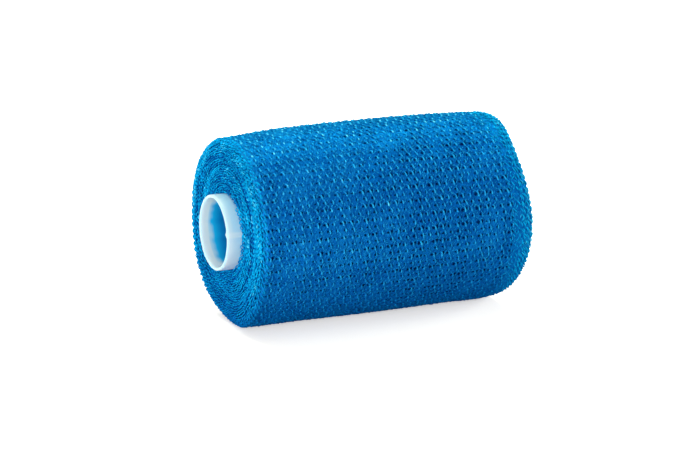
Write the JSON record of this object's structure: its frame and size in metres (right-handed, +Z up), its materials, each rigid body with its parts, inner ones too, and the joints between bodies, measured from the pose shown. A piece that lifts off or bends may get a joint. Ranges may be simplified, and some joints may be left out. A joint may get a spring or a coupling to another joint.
{
  "type": "fibreglass casting tape roll",
  "caption": "Roll of knitted fibreglass casting tape wound on a plastic core tube that stands out at both ends, lying on its side.",
  "frame": {"origin": "on the floor, under the middle of the roll's axis", "axes": "+X along the roll's axis, towards the end away from the viewer; +Z up, away from the flat spot that the roll rests on"},
  "size_m": [0.1078, 0.0656, 0.0651],
  "materials": {
    "casting_tape": "knitted glass yarn coated with resin, slightly glossy",
    "core_plastic": "smooth translucent plastic"
  },
  "bodies": {
    "root": {"tape_roll": "casting_tape", "core_tube": "core_plastic"}
  },
  "joints": []
}
